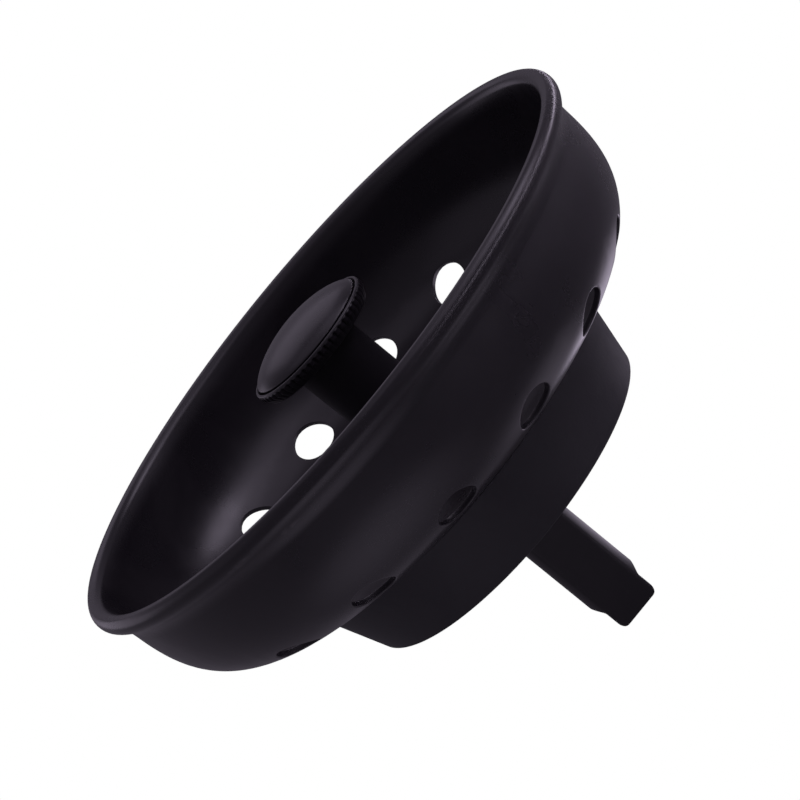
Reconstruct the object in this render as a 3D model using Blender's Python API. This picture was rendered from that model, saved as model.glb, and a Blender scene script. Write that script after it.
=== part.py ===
"""Kitchen sink basket strainer with a rubber stopper, a knurled lift knob and a flat-sided post.

The origin is on the stem's axis, in the plane of the rubber stopper's flat underside, which is
the plane that seats in the drain. +Z runs up the stem to the knob. Dimensions here are in
millimetres, and the model is in metres.
"""

from math import acos, cos, degrees, pi, radians, sin

import bmesh
import bpy
from mathutils import Matrix, Vector

MM = 0.001
GAP = 0.3                  # between pieces that touch

# Pressed basket, in sheet steel
RIM_RADIUS = 40.5
RIM_HEIGHT = 28.37         # level of the rim's widest edge
LIP_RISE = 1.16            # widest edge up to the crown of the lip
LIP_REACH = 0.9            # widest edge in to the crown of the lip
LIP_UNDERCUT_DEG = -14.0   # where the rolled lip runs into its flare
INNER_ROLL = 1.3           # crown of the lip in to the bowl's inner wall
INNER_ROLL_ARC_DEG = (172, 105)
INNER_WALL_TOP = 26.0      # level where the inner wall starts to lean out to the lip
FLARE_FOOT = 24.75         # level where the outer wall starts to flare out to the lip
FLARE_RADIUS = 3.0
FLARE_ARC_DEG = (145, 180)
WALL_RADIUS = 38.75
BOWL_TOP = 27.4            # level where the bowl's curve stands upright
BOWL_DEPTH = 17.95
ACROSS_POWER = 5.0         # the bowl's section is a superellipse with these two powers
DOWN_POWER = 3.2
BOWL_TURNS = (8, 15, 23, 31, 39, 47, 55, 63, 71, 78)
FLOOR_TURN = 82.0          # where the curve gives way to the flat floor
SHEET = 0.7
FLOOR_HOLE_RADIUS = 2.2

# Drain holes through the rounded foot of the bowl
HOLE_COUNT = 16
HOLE_RADIUS = 2.72
HOLE_RING_RADIUS = 34.3
DRILL_LENGTH = 5.0
DRILL_FACETS = 18
FIRST_HOLE_DEG = 263.9

# Rubber stopper
STOPPER_TOP_RADIUS = 24.6
STOPPER_MID_RADIUS = 22.0  # one more point of the bowl's curve that the top follows
STOPPER_FOOT_RADIUS = 21.92
STOPPER_EDGE = 0.35
STOPPER_BORE = 3.3
RECESS_RADIUS = 11.2
RECESS_DEPTH = 2.5
O_RING_SEAT = 3.8
O_RING_SEAT_DEPTH = 1.75

# Spindle: knob, sleeve, stud and post
STUD_RADIUS = 1.7
STUD_TOP = 28.2
STUD_FOOT = -5.2
STUD_CHAMFER = 0.3
SLEEVE_RADIUS = 4.54
SLEEVE_BORE = 3.6
SLEEVE_SHOULDER = 20.5
KNOB_RADIUS = 8.91
KNOB_UNDERSIDE = 28.4
KNOB_BEVEL = 0.65          # how far the bevel under the band runs in
BAND_FOOT = 29.4           # level where the bevel ends and the serrated band starts
BAND_EDGE = 0.18           # plain edge above and below the serrated band
KNOB_TOP = 30.3
SERRATIONS = 60
SERRATION_DEPTH = 0.3
HUB_RADIUS = 3.3
HUB_FOOT = 21.7
CAP_SEAT_RADIUS = 8.5
CAP_SEAT_DEPTH = 1.0
CAP_RISE = 2.4             # crown of the cap above the knob's rim
CAP_DOME_POWER = 2.1
CAP_SHOULDER_POWER = 0.75  # below 1 makes the dome fuller near its edge
CAP_DOME_DEGS = (12, 24, 36, 48, 59, 69, 78, 90)
POST_RADIUS = 3.75
POST_FLAT = 2.55           # axis to each flat
POST_TOP = 0.9
POST_SHOULDER = -17.0
POST_TIP = -21.14
NOSE_TOP = -18.3
NOSE_HALF_WIDTH = 3.0
NOSE_CORNER = 0.9

# Small pieces threaded on the stud
THRUST_WASHER_RADIUS = 6.0
THRUST_WASHER_THICKNESS = 0.7
LOCK_WASHER_SECTION = (1.2, 0.4)
LOCK_WASHER_RISE = 0.2
LOCK_WASHER_TURN_DEG = 340.0
STOPPER_WASHER_RADIUS = 10.6
STOPPER_WASHER_THICKNESS = 1.0
BUSH_RADIUS = 3.0
O_RING_THICKNESS = 1.5

CUT_CLEARANCE = 2.0        # how far a cutter stands past what it cuts

# Steps round a full turn
FINE = 64
MEDIUM = 40
COARSE = 28


def clear_scene():
    for old in list(bpy.data.objects):
        bpy.data.objects.remove(old, do_unlink=True)


def material(name, colour, roughness, metallic=0.0):
    finish = bpy.data.materials.new(name)
    finish.use_nodes = True
    shader = finish.node_tree.nodes["Principled BSDF"]
    shader.inputs["Base Color"].default_value = (*colour, 1.0)
    shader.inputs["Roughness"].default_value = roughness
    shader.inputs["Metallic"].default_value = metallic
    finish.diffuse_color = (*colour, 1.0)
    return finish


def add_piece(name, bm, finish, parent):
    """Make a named, smooth-shaded object of a bmesh, under its parent empty."""
    bmesh.ops.recalc_face_normals(bm, faces=bm.faces)
    mesh = bpy.data.meshes.new(name)
    bm.to_mesh(mesh)
    bm.free()
    mesh.materials.append(finish)
    mesh.shade_smooth()
    mesh.set_sharp_from_angle(angle=radians(35))
    piece = bpy.data.objects.new(name, mesh)
    piece.parent = parent
    bpy.context.collection.objects.link(piece)
    return piece


def add_cutter(name, bm):
    """Make a hidden object that only shapes other pieces."""
    bmesh.ops.recalc_face_normals(bm, faces=bm.faces)
    mesh = bpy.data.meshes.new(name)
    bm.to_mesh(mesh)
    bm.free()
    cutter = bpy.data.objects.new(name, mesh)
    cutter.hide_render = True
    cutter.display_type = "WIRE"
    bpy.context.collection.objects.link(cutter)
    return cutter


def add_boolean(piece, cutter, operation):
    boolean = piece.modifiers.new(cutter.name, "BOOLEAN")
    boolean.object = cutter
    boolean.operation = operation
    boolean.solver = "EXACT"


def spin_outline(outline, steps):
    """Turn a section of (radius, height) points about Z; one that meets the axis stays open there."""
    bm = bmesh.new()
    verts = [bm.verts.new((r * MM, 0.0, z * MM)) for r, z in outline]
    pairs = list(zip(verts, verts[1:]))
    if outline[0][0] > 0:
        pairs.append((verts[-1], verts[0]))
    for pair in pairs:
        bm.edges.new(pair)
    bmesh.ops.spin(bm, geom=bm.verts[:] + bm.edges[:], cent=(0, 0, 0), axis=(0, 0, 1),
                   angle=2 * pi, steps=steps, use_merge=True)
    bmesh.ops.remove_doubles(bm, verts=bm.verts, dist=1e-6)
    return bm


def arc(centre, radii, start_deg, end_deg, count):
    """Points along an elliptic arc."""
    points = []
    for i in range(count + 1):
        turn = radians(start_deg + (end_deg - start_deg) * i / count)
        points.append((centre[0] + radii[0] * cos(turn), centre[1] + radii[1] * sin(turn)))
    return points


def ring_section(inner, outer, foot, top, edge=0.12):
    """A flat ring's section, with its outer edges broken by a small chamfer."""
    return [(inner, top), (outer - edge, top), (outer, top - edge),
            (outer, foot + edge), (outer - edge, foot), (inner, foot)]


def bowl_point(turn_deg, inset=0.0):
    """A point of the bowl's outer curve, moved along its normal into the sheet by inset.

    The turn runs from 0 degrees at the upright wall to 90 at the axis.
    """
    turn = radians(turn_deg)
    r = WALL_RADIUS * cos(turn) ** (2 / ACROSS_POWER)
    drop = BOWL_DEPTH * sin(turn) ** (2 / DOWN_POWER)
    slope_r = ACROSS_POWER / WALL_RADIUS * (r / WALL_RADIUS) ** (ACROSS_POWER - 1)
    slope_z = DOWN_POWER / BOWL_DEPTH * (drop / BOWL_DEPTH) ** (DOWN_POWER - 1)
    normal = Vector((slope_r, -slope_z)).normalized()
    return r - inset * normal.x, BOWL_TOP - drop - inset * normal.y


def bowl_turn(radius):
    """The turn at which the bowl's outer curve has this radius."""
    return degrees(acos((radius / WALL_RADIUS) ** (ACROSS_POWER / 2)))


FLOOR_UNDERSIDE = BOWL_TOP - BOWL_DEPTH
FLOOR_TOP = FLOOR_UNDERSIDE + SHEET
STUD_HOLE = STUD_RADIUS + GAP


def basket(finish, parent):
    """The pressed cup: flat floor, rounded foot, upright wall and a rolled lip."""
    turns = (*BOWL_TURNS, FLOOR_TURN)
    outside = [bowl_point(turn) for turn in turns]
    inside = [bowl_point(turn, SHEET) for turn in reversed(turns)]
    flare = arc((WALL_RADIUS + FLARE_RADIUS, FLARE_FOOT), (FLARE_RADIUS, FLARE_RADIUS),
                *FLARE_ARC_DEG, 4)
    crown = RIM_RADIUS - LIP_REACH
    nose = arc((crown, RIM_HEIGHT), (LIP_REACH, LIP_RISE), 90, LIP_UNDERCUT_DEG, 6)
    roll = arc((crown, RIM_HEIGHT), (INNER_ROLL, LIP_RISE), *INNER_ROLL_ARC_DEG, 3)
    outline = [(FLOOR_HOLE_RADIUS, FLOOR_TOP), *inside]
    outline += [(WALL_RADIUS - SHEET, INNER_WALL_TOP), *roll, *nose, *flare, *outside]
    outline.append((FLOOR_HOLE_RADIUS, FLOOR_UNDERSIDE))
    bowl = add_piece("basket", spin_outline(outline, FINE), finish, parent)
    add_boolean(bowl, hole_drills(), "DIFFERENCE")
    return bowl


def hole_drills():
    """One short drill for each drain hole, square to the bowl's curve."""
    turn = bowl_turn(HOLE_RING_RADIUS)
    r, z = bowl_point(turn, SHEET / 2)
    far_r, far_z = bowl_point(turn, -SHEET)
    out = Vector((far_r - r, 0.0, far_z - z)).normalized()
    tilt = Vector((0, 0, 1)).rotation_difference(out).to_matrix().to_4x4()
    bm = bmesh.new()
    for i in range(HOLE_COUNT):
        spin = Matrix.Rotation(radians(FIRST_HOLE_DEG + 360 * i / HOLE_COUNT), 4, "Z")
        place = spin @ Matrix.Translation(Vector((r, 0.0, z)) * MM) @ tilt
        bmesh.ops.create_cone(bm, cap_ends=True, segments=DRILL_FACETS, radius1=HOLE_RADIUS * MM,
                              radius2=HOLE_RADIUS * MM, depth=DRILL_LENGTH * MM, matrix=place)
    return add_cutter("hole_drills", bm)


def stopper(finish, parent):
    """The moulded rubber cone under the floor, recessed below for its washer."""
    seat_floor = FLOOR_UNDERSIDE - O_RING_SEAT_DEPTH - GAP
    outline = [(O_RING_SEAT, seat_floor), (O_RING_SEAT, FLOOR_UNDERSIDE - GAP)]
    outline += [bowl_point(FLOOR_TURN, -GAP), bowl_point(bowl_turn(STOPPER_MID_RADIUS), -GAP)]
    outline.append(bowl_point(bowl_turn(STOPPER_TOP_RADIUS), -GAP))
    outline += [(STOPPER_FOOT_RADIUS, STOPPER_EDGE), (STOPPER_FOOT_RADIUS - STOPPER_EDGE, 0.0)]
    outline += [(RECESS_RADIUS, 0.0), (RECESS_RADIUS, RECESS_DEPTH)]
    outline += [(STOPPER_BORE, RECESS_DEPTH), (STOPPER_BORE, seat_floor)]
    return add_piece("stopper", spin_outline(outline, FINE), finish, parent)


def o_ring(finish, parent):
    """Seals the stud's hole through the floor."""
    radius = O_RING_THICKNESS / 2
    centre = (STUD_HOLE + radius, FLOOR_UNDERSIDE - GAP - O_RING_SEAT_DEPTH / 2)
    outline = arc(centre, (radius, radius), 0, 324, 9)
    return add_piece("spindle_o_ring", spin_outline(outline, COARSE), finish, parent)


def spacer_bush(finish, parent):
    """Lines the rubber, so that the stud turns freely in it."""
    top = FLOOR_UNDERSIDE - O_RING_SEAT_DEPTH - 2 * GAP
    outline = ring_section(STUD_HOLE, BUSH_RADIUS, RECESS_DEPTH + GAP, top)
    return add_piece("spacer_bush", spin_outline(outline, COARSE), finish, parent)


def stopper_washer(finish, parent):
    """Backs the rubber from below, inside its recess."""
    top = RECESS_DEPTH - GAP
    outline = ring_section(STUD_HOLE, STOPPER_WASHER_RADIUS, top - STOPPER_WASHER_THICKNESS, top)
    return add_piece("stopper_washer", spin_outline(outline, MEDIUM), finish, parent)


def thrust_washer(finish, parent):
    """Lies on the floor, under the turning sleeve."""
    foot = FLOOR_TOP + GAP
    outline = ring_section(STUD_HOLE, THRUST_WASHER_RADIUS, foot, foot + THRUST_WASHER_THICKNESS)
    return add_piece("thrust_washer", spin_outline(outline, COARSE), finish, parent)


def sleeve(finish, parent):
    """The stem that shows inside the bowl; its upper bore takes the knob's hub."""
    foot = FLOOR_TOP + THRUST_WASHER_THICKNESS + 2 * GAP
    top = KNOB_UNDERSIDE - GAP
    outline = [(STUD_HOLE, SLEEVE_SHOULDER), (SLEEVE_BORE, SLEEVE_SHOULDER), (SLEEVE_BORE, top)]
    outline += [(SLEEVE_RADIUS, top), (SLEEVE_RADIUS, foot), (STUD_HOLE, foot)]
    return add_piece("stem_sleeve", spin_outline(outline, MEDIUM), finish, parent)


def lock_washer(finish, parent):
    """A split spring washer between the knob's hub and the sleeve's shoulder."""
    width, height = LOCK_WASHER_SECTION
    foot = SLEEVE_SHOULDER + GAP
    corners = [(STUD_HOLE, foot), (STUD_HOLE + width, foot),
               (STUD_HOLE + width, foot + height), (STUD_HOLE, foot + height)]
    bm = bmesh.new()
    section = bm.faces.new([bm.verts.new((r * MM, 0.0, z * MM)) for r, z in corners])
    steps = COARSE
    bmesh.ops.spin(bm, geom=[section], cent=(0, 0, 0), axis=(0, 0, 1),
                   angle=radians(LOCK_WASHER_TURN_DEG), steps=steps,
                   dvec=(0, 0, LOCK_WASHER_RISE * MM / steps))
    return add_piece("lock_washer", bm, finish, parent)


def centre_stud(finish, parent):
    """The threaded rod that ties the knob to the post."""
    edge = STUD_RADIUS - STUD_CHAMFER
    outline = [(0.0, STUD_TOP), (edge, STUD_TOP), (STUD_RADIUS, STUD_TOP - STUD_CHAMFER),
               (STUD_RADIUS, STUD_FOOT + STUD_CHAMFER), (edge, STUD_FOOT), (0.0, STUD_FOOT)]
    return add_piece("centre_stud", spin_outline(outline, COARSE), finish, parent)


def knob(finish, parent):
    """The knurled head, with a seat for the cap above and a threaded hub below."""
    seat = KNOB_TOP - CAP_SEAT_DEPTH
    outline = [(0.0, seat), (CAP_SEAT_RADIUS, seat), (CAP_SEAT_RADIUS, KNOB_TOP)]
    outline += [(KNOB_RADIUS - BAND_EDGE, KNOB_TOP), (KNOB_RADIUS, KNOB_TOP - BAND_EDGE)]
    outline += [(KNOB_RADIUS, KNOB_TOP - 2 * BAND_EDGE), (KNOB_RADIUS, BAND_FOOT)]
    outline += [(KNOB_RADIUS - KNOB_BEVEL, KNOB_UNDERSIDE), (HUB_RADIUS, KNOB_UNDERSIDE)]
    outline += [(HUB_RADIUS, HUB_FOOT), (STUD_HOLE, HUB_FOOT)]
    outline += [(STUD_HOLE, STUD_TOP + GAP), (0.0, STUD_TOP + GAP)]
    bm = spin_outline(outline, 2 * SERRATIONS)
    press_serrations(bm)
    return add_piece("knob", bm, finish, parent)


def press_serrations(bm):
    """Push every second column of the rim's band inwards."""
    band_top = KNOB_TOP - 1.5 * BAND_EDGE
    for vert in bm.verts:
        height = vert.co.z / MM
        on_rim = vert.co.xy.length > (KNOB_RADIUS - BAND_EDGE / 2) * MM
        column = round(degrees(vert.co.xy.angle_signed(Vector((1, 0)), 0.0)) * SERRATIONS / 180)
        if on_rim and BAND_FOOT - GAP < height < band_top and column % 2:
            vert.co.xy *= 1 - SERRATION_DEPTH / KNOB_RADIUS


def knob_cap(finish, parent):
    """The domed disc pressed into the knob's rim."""
    edge = CAP_SEAT_RADIUS - GAP
    foot = KNOB_TOP - CAP_SEAT_DEPTH + GAP
    outline = [(0.0, KNOB_TOP + CAP_RISE)]
    for dome_deg in CAP_DOME_DEGS:
        share = min(sin(radians(dome_deg)), 1.0)
        rise = CAP_RISE * (1 - share ** CAP_DOME_POWER) ** CAP_SHOULDER_POWER
        outline.append((edge * share, KNOB_TOP + rise))
    outline += [(edge, foot), (0.0, foot)]
    return add_piece("knob_cap", spin_outline(outline, MEDIUM), finish, parent)


def post(finish, parent):
    """A round bar with two milled flats, stepped down to a narrower nose."""
    wide = POST_RADIUS + CUT_CLEARANCE
    side = [(wide, POST_TOP), (wide, POST_SHOULDER + 0.1), (POST_RADIUS, POST_SHOULDER),
            (POST_RADIUS - 0.25, POST_SHOULDER - 0.25), (NOSE_HALF_WIDTH + 0.1, NOSE_TOP + 0.4),
            (NOSE_HALF_WIDTH, NOSE_TOP)]
    side += arc((NOSE_HALF_WIDTH - NOSE_CORNER, POST_TIP + NOSE_CORNER),
                (NOSE_CORNER, NOSE_CORNER), 0, -90, 4)
    outline = side + [(-x, z) for x, z in reversed(side)]
    bm = bmesh.new()
    front = bm.faces.new([bm.verts.new((x * MM, -POST_FLAT * MM, z * MM)) for x, z in outline])
    slab = bmesh.ops.extrude_face_region(bm, geom=[front])["geom"]
    back = [item for item in slab if isinstance(item, bmesh.types.BMVert)]
    bmesh.ops.translate(bm, verts=back, vec=(0, 2 * POST_FLAT * MM, 0))
    bar = add_piece("post", bm, finish, parent)
    add_boolean(bar, round_bar(), "INTERSECT")
    add_boolean(bar, stud_drill(), "DIFFERENCE")
    return bar


def round_bar():
    """The bar stock that gives the post its round sides."""
    outline = [(0.0, POST_TOP + CUT_CLEARANCE), (POST_RADIUS, POST_TOP + CUT_CLEARANCE),
               (POST_RADIUS, POST_TIP - CUT_CLEARANCE), (0.0, POST_TIP - CUT_CLEARANCE)]
    return add_cutter("round_bar", spin_outline(outline, MEDIUM))


def stud_drill():
    """The blind hole in the post's top that takes the stud."""
    outline = [(0.0, POST_TOP + CUT_CLEARANCE), (STUD_HOLE, POST_TOP + CUT_CLEARANCE),
               (STUD_HOLE, STUD_FOOT - GAP), (0.0, STUD_FOOT - GAP)]
    return add_cutter("stud_drill", spin_outline(outline, COARSE))


def axis_empty(name):
    empty = bpy.data.objects.new(name, None)
    bpy.context.collection.objects.link(empty)
    return empty


def build():
    clear_scene()
    coated = material("black coated steel", (0.013, 0.012, 0.013), 0.42)
    coated_brass = material("black coated brass", (0.012, 0.011, 0.012), 0.4)
    rubber = material("black rubber", (0.016, 0.015, 0.016), 0.62)
    steel = material("plain steel", (0.55, 0.54, 0.52), 0.35, 1.0)
    nylon = material("white nylon", (0.78, 0.76, 0.7), 0.5)
    still = axis_empty("basket_axis")
    turning = axis_empty("spindle_axis")
    basket(coated, still)
    stopper(rubber, still)
    o_ring(rubber, still)
    spacer_bush(nylon, still)
    stopper_washer(steel, still)
    thrust_washer(nylon, still)
    sleeve(coated_brass, turning)
    lock_washer(steel, turning)
    centre_stud(steel, turning)
    knob(coated_brass, turning)
    knob_cap(coated_brass, turning)
    post(coated_brass, turning)


build()
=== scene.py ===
# %% [markdown]
# # A kitchen sink basket strainer
# This strainer drops into the drain of a kitchen sink. Its cup catches food, its rubber cone
# seals the drain, and its flat-sided post goes down through the slot in the drain's cross-bar.
# The surfaces are built around a fixed frame that already knows every size, so each piece below
# takes its place from the frame. The frame is in metres with +Z up the stem, and sections are
# drawn in millimetres, as they would be on a workshop drawing.

from math import acos, cos, degrees, pi, radians, sin, tan

import bmesh
import bpy
import numpy as np
from mathutils import Matrix, Vector


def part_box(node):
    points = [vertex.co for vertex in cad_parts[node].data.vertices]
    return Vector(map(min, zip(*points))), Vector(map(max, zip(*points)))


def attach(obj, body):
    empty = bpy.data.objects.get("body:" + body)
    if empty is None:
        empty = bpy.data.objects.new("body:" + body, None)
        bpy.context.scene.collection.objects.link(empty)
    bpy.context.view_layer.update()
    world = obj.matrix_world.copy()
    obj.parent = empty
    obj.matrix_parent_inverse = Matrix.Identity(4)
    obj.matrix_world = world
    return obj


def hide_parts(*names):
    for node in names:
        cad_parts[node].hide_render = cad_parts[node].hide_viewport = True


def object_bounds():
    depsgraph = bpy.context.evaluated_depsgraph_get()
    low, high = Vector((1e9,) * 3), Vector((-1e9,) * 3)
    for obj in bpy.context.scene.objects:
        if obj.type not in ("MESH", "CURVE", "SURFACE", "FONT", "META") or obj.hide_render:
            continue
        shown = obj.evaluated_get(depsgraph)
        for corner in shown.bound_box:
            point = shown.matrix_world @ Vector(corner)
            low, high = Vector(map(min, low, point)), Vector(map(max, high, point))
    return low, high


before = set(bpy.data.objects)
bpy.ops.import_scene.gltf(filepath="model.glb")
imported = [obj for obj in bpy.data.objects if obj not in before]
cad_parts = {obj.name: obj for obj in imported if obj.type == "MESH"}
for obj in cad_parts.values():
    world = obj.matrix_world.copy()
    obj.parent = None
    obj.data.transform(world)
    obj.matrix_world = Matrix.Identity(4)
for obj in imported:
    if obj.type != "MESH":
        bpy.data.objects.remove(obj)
cad_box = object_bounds()
MM = 0.001
STILL, TURNING = "strainer", "spindle"


def edges(node):
    """The lowest and highest corner of a frame node, in millimetres."""
    low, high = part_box(node)
    return low / MM, high / MM


# %% [markdown]
# ## The camera
# A small shiny thing is usually shot from far off with a long lens, so that its round rim stays
# a clean ellipse. The strainer is seen from a little above its rim, and the camera is rolled
# about its own line of sight, so that the stem runs down to the right. A Track To constraint
# could aim it, but it can't roll it, so the three axes of the camera are worked out here.

# %% Camera
CAMERA_ELEVATION = 14.28
CAMERA_ROLL = 50.8
CAMERA_DISTANCE = 0.3781
CAMERA_LENS = 147.8
CAMERA_TARGET = Vector((0.00116, 0.0, 0.01695))


def add_camera():
    tilt, roll = radians(CAMERA_ELEVATION), radians(CAMERA_ROLL)
    back = Vector((0.0, -cos(tilt), sin(tilt)))
    level, upright = Vector((1.0, 0.0, 0.0)), Vector((0.0, sin(tilt), cos(tilt)))
    right = level * cos(roll) - upright * sin(roll)
    up = level * sin(roll) + upright * cos(roll)
    data = bpy.data.cameras.new("camera")
    data.lens = CAMERA_LENS
    data.clip_start, data.clip_end = 0.01, 20.0
    camera = bpy.data.objects.new("camera", data)
    bpy.context.collection.objects.link(camera)
    turn = Matrix((right, up, back)).transposed().to_4x4()
    camera.matrix_world = Matrix.Translation(CAMERA_TARGET + back * CAMERA_DISTANCE) @ turn
    return camera


bpy.context.scene.camera = add_camera()
print("camera at", [round(x, 3) for x in bpy.context.scene.camera.location])

# %% [markdown]
# ## The studio
# Black things are lit by what they mirror. A white sweep would turn the satin coat grey all
# over, so the floor and the surround look white to the camera but hardly light the strainer. The
# Light Path node tells the two kinds of ray apart, which is simpler than adding a white background
# afterwards. The far right of the floor and a few spots close by are brighter. They draw the
# streak along the foot of the cup, which mirrors the floor.

# %% Floor and surround
FLOOR_DROP = 0.0006        # below the post's tip
FLOOR_HALF_SIZE = 3.0
SURROUND_GLOW = 0.13
FLOOR_GLOW, POOL_GLOW = 0.13, 5.4
POOL_START, POOL_FULL = 0.45, 0.9    # how far out along +X the bright side starts and is full
# brighter places on the floor: azimuth, distance, full within, gone beyond, extra glow
FLOOR_SPOTS = {
    "behind_right": (40, 0.042, 0.01, 0.034, 1.1),
    "front_right": (318, 0.034, 0.004, 0.024, 0.3),
    "front_left": (240, 0.08, 0.012, 0.055, 0.32),
}
STUDIO_TINT = (1.1, 0.97, 1.22)      # a faint violet cast


def white_to_camera(tree, glowing, felt):
    """Full white for camera rays, and the tinted glow of felt, a value or socket, for others."""
    path = tree.nodes.new("ShaderNodeLightPath")
    tint = tree.nodes.new("ShaderNodeMix")
    tint.data_type = "RGBA"
    tint.inputs["A"].default_value = (*STUDIO_TINT, 1.0)
    tint.inputs["B"].default_value = (1.0, 1.0, 1.0, 1.0)
    strength = tree.nodes.new("ShaderNodeMix")
    strength.inputs["B"].default_value = 1.0
    for mix in (tint, strength):
        tree.links.new(path.outputs["Is Camera Ray"], mix.inputs["Factor"])
    if isinstance(felt, float):
        strength.inputs["A"].default_value = felt
    else:
        tree.links.new(felt, strength.inputs["A"])
    tree.links.new(tint.outputs["Result"], glowing.inputs["Color"])
    tree.links.new(strength.outputs["Result"], glowing.inputs["Strength"])


def fade(tree, value, start, end, before, after):
    """One glow before the start, another after the end, and smooth between."""
    made = tree.nodes.new("ShaderNodeMapRange")
    made.interpolation_type = "SMOOTHSTEP"
    limits = {"From Min": start, "From Max": end, "To Min": before, "To Max": after}
    for socket, limit in limits.items():
        made.inputs[socket].default_value = limit
    tree.links.new(value, made.inputs["Value"])
    return made.outputs["Result"]


def pool_of_light(tree):
    """The floor's glow, which rises towards one side and in a few spots near the strainer."""
    place = tree.nodes.new("ShaderNodeTexCoord").outputs["Object"]
    split = tree.nodes.new("ShaderNodeSeparateXYZ")
    tree.links.new(place, split.inputs["Vector"])
    total = fade(tree, split.outputs["X"], POOL_START, POOL_FULL, FLOOR_GLOW, POOL_GLOW)
    for azimuth, distance, full, gone, extra in FLOOR_SPOTS.values():
        turn = radians(azimuth)
        away = tree.nodes.new("ShaderNodeVectorMath")
        away.operation = "DISTANCE"
        away.inputs[1].default_value = (distance * cos(turn), distance * sin(turn), 0.0)
        tree.links.new(place, away.inputs[0])
        both = tree.nodes.new("ShaderNodeMath")
        tree.links.new(total, both.inputs[0])
        tree.links.new(fade(tree, away.outputs["Value"], full, gone, extra, 0.0), both.inputs[1])
        total = both.outputs["Value"]
    return total


def add_surround():
    world = bpy.data.worlds.new("surround")
    bpy.context.scene.world = world
    world.use_nodes = True
    tree = world.node_tree
    white_to_camera(tree, tree.nodes["Background"], SURROUND_GLOW)


def add_floor():
    pale = bpy.data.materials.new("pale floor")
    pale.use_nodes = True
    tree = pale.node_tree
    tree.nodes.clear()
    glow = tree.nodes.new("ShaderNodeEmission")
    out = tree.nodes.new("ShaderNodeOutputMaterial")
    white_to_camera(tree, glow, pool_of_light(tree))
    tree.links.new(glow.outputs["Emission"], out.inputs["Surface"])
    bm = bmesh.new()
    bmesh.ops.create_grid(bm, x_segments=1, y_segments=1, size=FLOOR_HALF_SIZE)
    mesh = bpy.data.meshes.new("floor")
    bm.to_mesh(mesh)
    bm.free()
    mesh.materials.append(pale)
    floor = bpy.data.objects.new("floor", mesh)
    floor.location.z = cad_box[0].z - FLOOR_DROP
    bpy.context.collection.objects.link(floor)


add_surround()
add_floor()
bpy.context.scene.view_settings.view_transform = "Standard"
print("floor at mm:", round((cad_box[0].z - FLOOR_DROP) / MM, 2))

# %% [markdown]
# ## Soft boxes
# A satin black curve shows a light as a soft patch whose place depends only on the direction that
# the light comes from. So each soft box is given by its azimuth and elevation, and they all stand
# at one distance and face the strainer. Area lights are used because they have a size, and a
# point light would make a hard dot. The ones on the right draw the bright patches in the cup, the
# rear ones draw the dome's, and the front one draws the bead along the lip.

# %% Soft boxes
SOFTBOX_DISTANCE = 0.6
# azimuth (0 is +X, 90 is +Y), elevation, width, height, glow
SOFTBOXES = {
    "key_softbox": (-6, 38, 0.4, 0.36, 0.68),
    "core_softbox": (-4, 27, 0.24, 0.24, 1.5),
    "side_softbox": (-45, 37, 0.3, 0.34, 0.55),
    "top_softbox": (10, 66, 0.4, 0.3, 0.36),
    "back_softbox": (135, 12, 0.5, 0.28, 0.36),
    "rear_softbox": (88, 42, 0.4, 0.36, 0.33),
    "left_softbox": (185, 30, 0.45, 0.45, 0.08),
    "front_softbox": (286, 58, 0.35, 0.28, 0.26),
    "crown_softbox": (180, 80, 0.4, 0.4, 0.16),
}


def add_softbox(name, azimuth, elevation, width, height, glow):
    """A soft light that faces the strainer, with its glow as light per unit of area."""
    a, e = radians(azimuth), radians(elevation)
    toward = Vector((cos(a) * cos(e), sin(a) * cos(e), sin(e)))
    data = bpy.data.lights.new(name, "AREA")
    data.shape = "RECTANGLE"
    data.size, data.size_y = width, height
    data.energy = pi * width * height * glow
    data.color = STUDIO_TINT
    light = bpy.data.objects.new(name, data)
    light.location = CAMERA_TARGET + toward * SOFTBOX_DISTANCE
    light.rotation_mode = "QUATERNION"
    light.rotation_quaternion = toward.to_track_quat("Z", "Y")
    light.visible_camera = False
    bpy.context.collection.objects.link(light)


for name, settings in SOFTBOXES.items():
    add_softbox(name, *settings)
print("soft boxes:", len(SOFTBOXES))

# %% [markdown]
# ## Shared effects
# The same few marks show on most of the pieces: the fine grain of the coat, the soft smudges of
# handling, the slightly brighter metal along worn edges, and the rings that a lathe leaves. Each
# is a node group with named sockets, so every material can place it with its own values. Image
# textures would need unwrapping, and noise on object coordinates doesn't.

# %% Node group helpers
def new_group(name, inputs, outputs):
    group = bpy.data.node_groups.new(name, "ShaderNodeTree")
    for label, value in inputs.items():
        socket = group.interface.new_socket(label, in_out="INPUT", socket_type="NodeSocketFloat")
        socket.default_value = value
    for label in outputs:
        group.interface.new_socket(label, in_out="OUTPUT", socket_type="NodeSocketFloat")
    return group, group.nodes.new("NodeGroupInput"), group.nodes.new("NodeGroupOutput")


def add_node(tree, kind, values=(), links=(), **settings):
    """A node with its socket values and incoming links set by socket name."""
    made = tree.nodes.new(kind)
    for key, value in settings.items():
        setattr(made, key, value)
    for socket, value in dict(values).items():
        made.inputs[socket].default_value = value
    for socket, source in dict(links).items():
        tree.links.new(source, made.inputs[socket])
    return made


def add_math(tree, operation, a, b):
    """A Math node; a and b are sockets or plain numbers."""
    made = tree.nodes.new("ShaderNodeMath")
    made.operation = operation
    for index, term in enumerate((a, b)):
        if isinstance(term, (int, float)):
            made.inputs[index].default_value = term
        else:
            tree.links.new(term, made.inputs[index])
    return made.outputs[0]


def ramp(tree, value, low, high):
    """0 below low, 1 above high, and smooth between."""
    made = add_node(tree, "ShaderNodeMapRange", {"From Min": low, "From Max": high},
                    {"Value": value}, interpolation_type="SMOOTHSTEP")
    return made.outputs["Result"]


print("helpers for node groups:", [new_group.__name__, add_node.__name__, add_math.__name__])

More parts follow.
